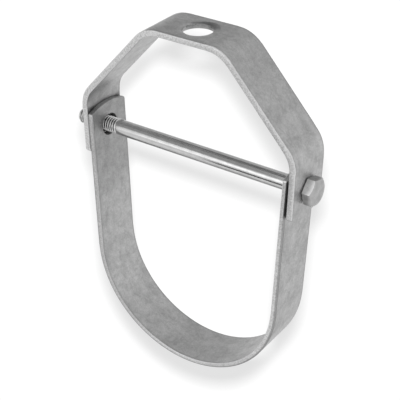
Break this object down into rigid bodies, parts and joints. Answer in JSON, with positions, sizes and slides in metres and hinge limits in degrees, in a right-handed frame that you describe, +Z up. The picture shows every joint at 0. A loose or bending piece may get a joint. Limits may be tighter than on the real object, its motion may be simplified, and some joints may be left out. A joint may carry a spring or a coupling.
{
  "type": "clevis pipe hanger",
  "caption": "Steel clevis hanger for a pipe: a bent yoke with a rod hole on top, a U-shaped lower strap between its ears, and a long hexagon bolt and nut through both.",
  "frame": {"origin": "middle of the rod hole, level with the underside of the yoke's flat top, where the rod's nut bears", "axes": "+Z up, along the rod that the hanger hangs from; +Y along the pipe; X along the bolt, with the bolt's head at +X and its nut at -X"},
  "size_m": [0.1575, 0.03, 0.2079],
  "materials": {
    "yoke_steel": "satin, plain or thinly zinc-coated bar",
    "strap_steel": "satin, plain or thinly zinc-coated bar",
    "bolt_zinc": "bright zinc plating",
    "nut_zinc": "bright zinc plating"
  },
  "bodies": {
    "yoke": {"upper_yoke": "yoke_steel"},
    "strap": {"lower_strap": "strap_steel"},
    "bolt": {"cross_bolt": "bolt_zinc"},
    "nut": {"hex_nut": "nut_zinc"}
  },
  "joints": [
    {"name": "strap_swing", "type": "hinge", "parent": "yoke", "child": "strap", "pos_m": [0, 0, -0.0694], "axis": [1, 0, 0], "range_deg": [-15, 15]},
    {"name": "bolt_turn", "type": "hinge", "parent": "yoke", "child": "bolt", "pos_m": [0, 0, -0.0694], "axis": [1, 0, 0], "range_deg": [0, 1440]},
    {"name": "nut_travel", "type": "slide", "parent": "yoke", "child": "nut", "axis": [-1, 0, 0], "range_m": [0, 0.00636]}
  ],
  "couplings": [
    {"joint": "nut_travel", "follows": "bolt_turn", "m_per_rad": 0.00025266}
  ]
}
